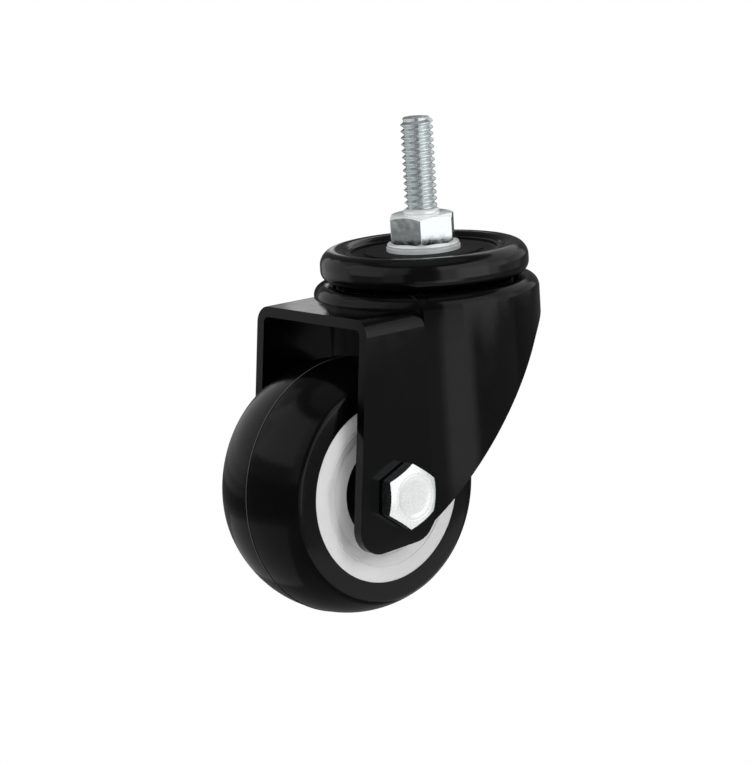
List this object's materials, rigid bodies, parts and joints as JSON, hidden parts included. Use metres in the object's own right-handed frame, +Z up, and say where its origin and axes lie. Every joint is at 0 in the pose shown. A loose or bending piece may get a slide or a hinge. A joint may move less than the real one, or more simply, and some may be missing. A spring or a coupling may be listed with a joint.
{
  "type": "swivel chair castor",
  "caption": "Swivel chair castor with a threaded stem, hexagon collar, ball-race head, black pressed steel fork and a crowned black tyre on a white wheel centre.",
  "frame": {"origin": "on the stem's axis, where the thread begins at the top of the plain neck", "axes": "+Z up the stem, Y along the wheel's axle with the bolt's head at -Y, and the wheel trails towards -X"},
  "size_m": [0.0698, 0.0463, 0.0937],
  "materials": {
    "zinc_steel": "bright zinc plated steel",
    "black_paint": "gloss black powder coat",
    "pan_steel": "plain greased steel",
    "ball_steel": "polished steel",
    "ring_steel": "ground steel",
    "nylon": "natural nylon",
    "black_plastic": "matt black plastic",
    "white_plastic": "satin white plastic",
    "tread": "smooth black polyurethane"
  },
  "bodies": {
    "stem": {"threaded_stem": "zinc_steel", "stem_washer": "zinc_steel", "top_cap": "black_paint", "lower_pan": "pan_steel"},
    "swivel_balls": {"upper_balls": "ball_steel", "lower_balls": "ball_steel"},
    "fork": {"fork": "black_paint", "axle_bolt": "zinc_steel", "axle_nut": "zinc_steel", "nut_insert": "nylon", "axle_sleeve": "ring_steel", "spacer_near": "ring_steel", "spacer_far": "ring_steel", "inner_ring_near": "ring_steel", "inner_ring_far": "ring_steel"},
    "wheel": {"wheel_core": "white_plastic", "tyre": "tread", "outer_ring_near": "ring_steel", "outer_ring_far": "ring_steel", "dust_cover_near": "black_plastic", "dust_cover_far": "black_plastic"},
    "bearing_balls": {"race_balls_near": "ball_steel", "race_balls_far": "ball_steel", "cage_near": "nylon", "cage_far": "nylon"}
  },
  "joints": [
    {"name": "swivel", "type": "hinge", "parent": "stem", "child": "fork", "pos_m": [0, 0, 0], "axis": [0, 0, 1], "continuous": true},
    {"name": "wheel_spin", "type": "hinge", "parent": "fork", "child": "wheel", "pos_m": [-0.0226, 0, -0.0508], "axis": [0, 1, 0], "continuous": true},
    {"name": "swivel_balls_roll", "type": "hinge", "parent": "stem", "child": "swivel_balls", "pos_m": [0, 0, 0], "axis": [0, 0, 1], "continuous": true},
    {"name": "bearing_balls_roll", "type": "hinge", "parent": "fork", "child": "bearing_balls", "pos_m": [-0.0226, 0, -0.0508], "axis": [0, 1, 0], "continuous": true}
  ],
  "couplings": [
    {"joint": "swivel_balls_roll", "follows": "swivel", "ratio": 0.5},
    {"joint": "bearing_balls_roll", "follows": "wheel_spin", "ratio": 0.64}
  ]
}
